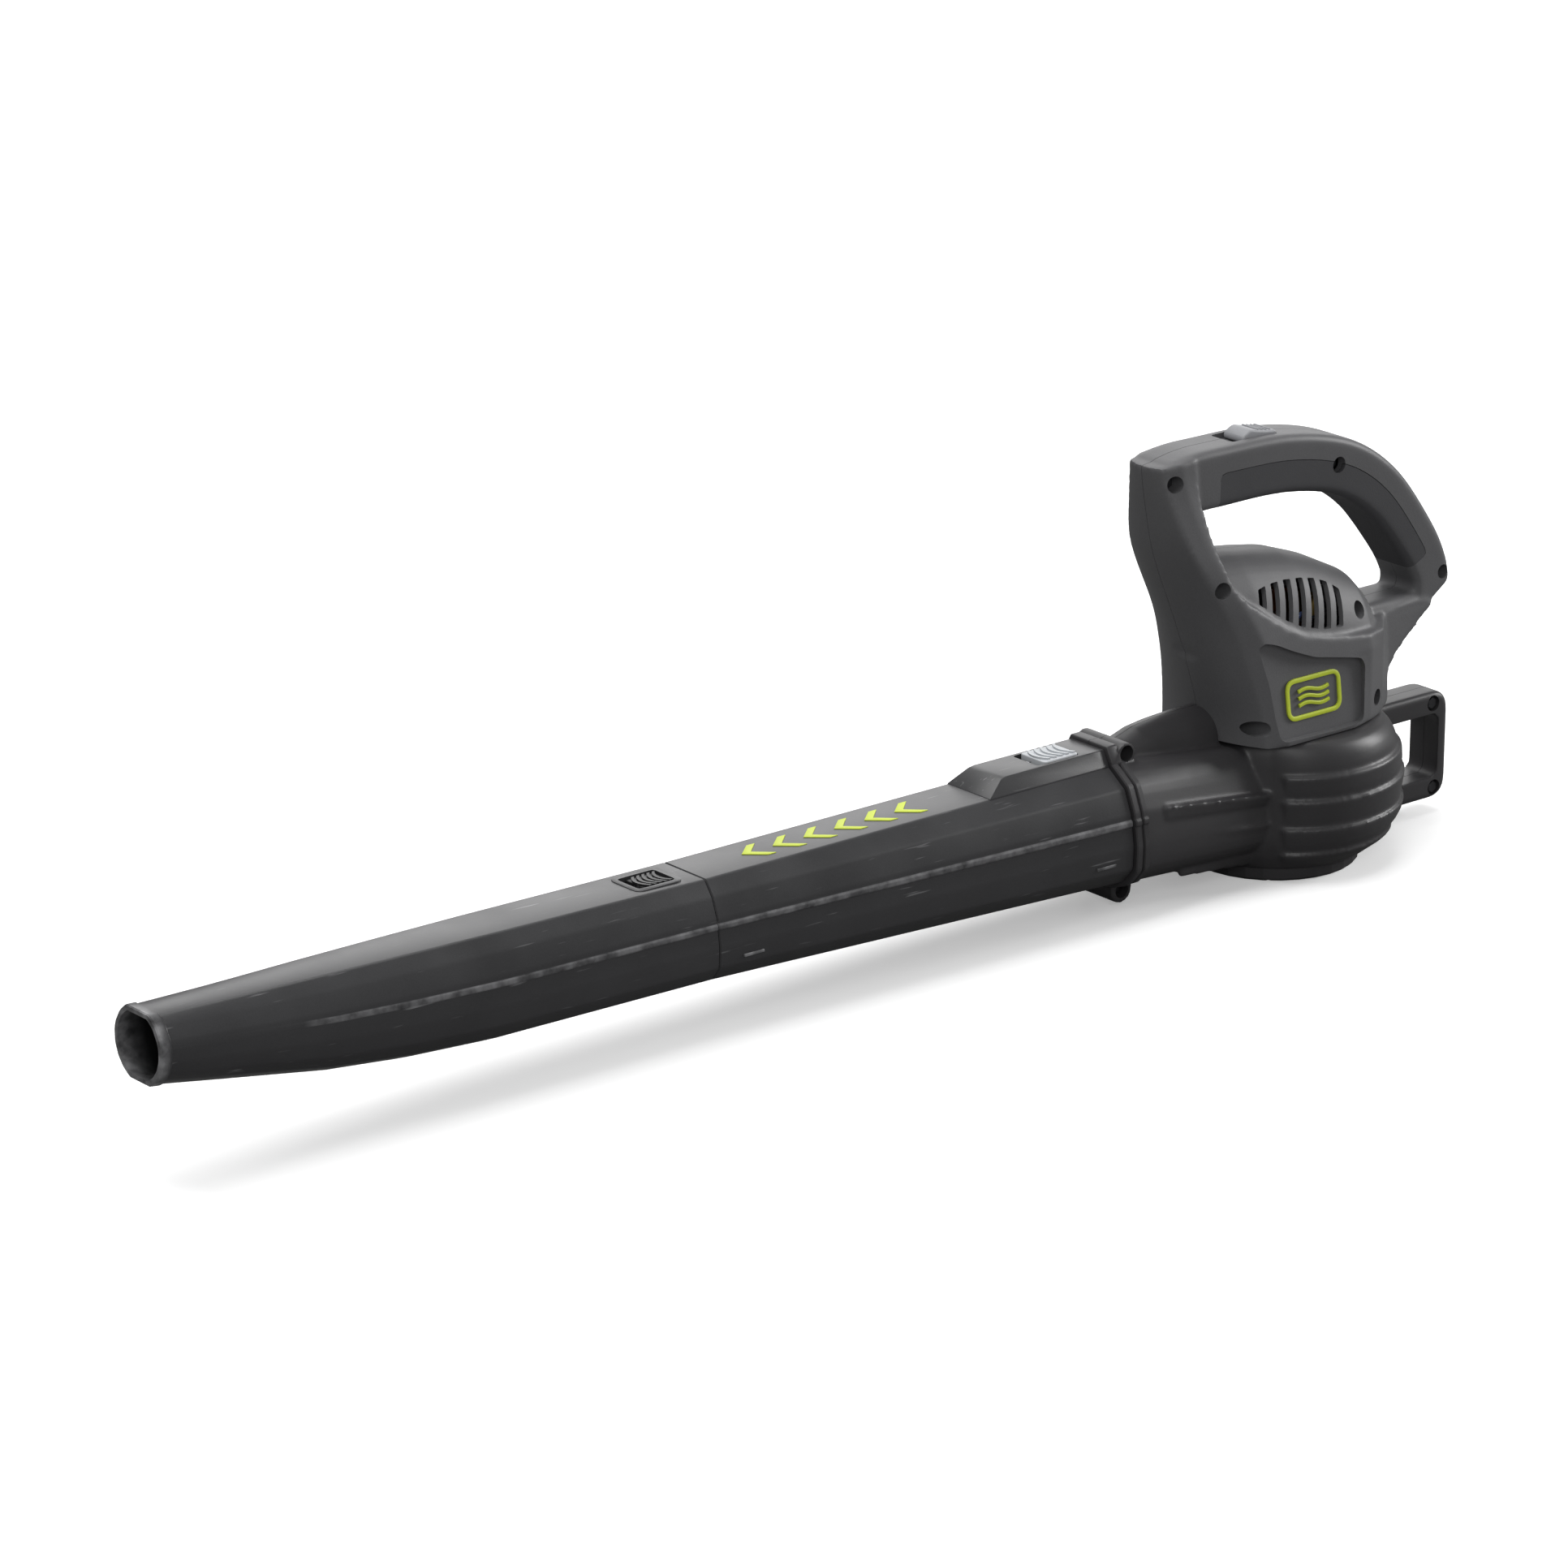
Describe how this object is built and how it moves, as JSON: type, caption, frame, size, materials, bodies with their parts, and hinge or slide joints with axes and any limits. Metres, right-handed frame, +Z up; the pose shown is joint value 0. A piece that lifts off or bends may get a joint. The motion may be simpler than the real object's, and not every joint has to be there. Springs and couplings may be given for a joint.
{
  "type": "leaf blower",
  "caption": "Corded hand-held leaf blower: faceted two-piece air tube, round fan housing, looped handle with thumb switch, vented motor dome and round intake base.",
  "frame": {"origin": "on the motor axis, in the plane of the intake face that the blower stands on", "axes": "+X towards the rear loop, air leaves along -X; +Z up along the motor axis, handle on top; the left side is -Y"},
  "size_m": [0.935, 0.1441, 0.2665],
  "materials": {
    "grey_shell": "matte, finely textured moulding",
    "dark_shell": "satin moulding",
    "tube_plastic": "satin moulding with worn, lighter edges",
    "light_button": "matte moulding",
    "black_button": "matte moulding",
    "soft_grip": "soft overmoulded grip",
    "nylon": "glass-filled moulding",
    "carbon": "pressed carbon",
    "lead_jacket": "smooth insulation",
    "steel": "plated steel",
    "lamination": "stacked sheet steel",
    "copper": "enamelled copper",
    "brass": "stamped brass"
  },
  "bodies": {
    "body": {"upper_tube": "tube_plastic", "nozzle_tube": "tube_plastic", "upper_latch_spring": "steel", "nozzle_latch_spring": "steel", "fan_housing_left": "dark_shell", "fan_housing_right": "dark_shell", "intake_cover": "dark_shell", "handle_shell_left": "grey_shell", "handle_shell_right": "grey_shell", "grip_insert": "soft_grip", "switch_body": "nylon", "suppression_capacitor": "light_button", "power_inlet": "nylon", "inlet_pin_live": "brass", "inlet_pin_neutral": "brass", "lead_live": "lead_jacket", "lead_neutral": "lead_jacket", "lead_motor": "lead_jacket", "motor_bracket_lower": "nylon", "motor_bracket_upper": "nylon", "stator_core": "lamination", "field_coil_front": "copper", "field_coil_rear": "copper", "bearing_lower": "steel", "bearing_upper": "steel", "brush_holder_left": "brass", "brush_holder_right": "brass", "brush_left": "carbon", "brush_right": "carbon", "motor_bolt_1": "steel", "motor_bolt_2": "steel", "housing_screw_1": "steel", "cover_screw_1": "steel", "housing_screw_2": "steel", "cover_screw_2": "steel", "housing_screw_3": "steel", "cover_screw_3": "steel", "housing_screw_4": "steel", "cover_screw_4": "steel", "handle_screw_1": "steel", "handle_screw_2": "steel", "handle_screw_3": "steel", "handle_screw_4": "steel", "handle_screw_5": "steel", "handle_screw_6": "steel", "handle_screw_7": "steel"},
    "rotor": {"rotor_shaft": "steel", "armature_core": "lamination", "armature_windings": "copper", "commutator": "copper", "impeller": "nylon", "impeller_washer": "steel", "impeller_nut": "steel"},
    "switch": {"switch_button": "light_button"},
    "upper_latch": {"upper_latch_button": "light_button"},
    "nozzle_latch": {"nozzle_latch_button": "black_button"}
  },
  "joints": [
    {"name": "rotor_spin", "type": "hinge", "parent": "body", "child": "rotor", "pos_m": [0, 0, 0.09], "axis": [0, 0, 1], "continuous": true},
    {"name": "switch_slide", "type": "slide", "parent": "body", "child": "switch", "axis": [-1, 0, 0], "range_m": [0, 0.008]},
    {"name": "upper_latch_slide", "type": "slide", "parent": "body", "child": "upper_latch", "axis": [-1, 0, 0], "range_m": [0, 0.005], "stiffness_N_per_m": 300, "deforming": ["upper_latch_spring"]},
    {"name": "nozzle_latch_slide", "type": "slide", "parent": "body", "child": "nozzle_latch", "axis": [-1, 0, 0], "range_m": [0, 0.005], "stiffness_N_per_m": 300, "deforming": ["nozzle_latch_spring"]}
  ]
}
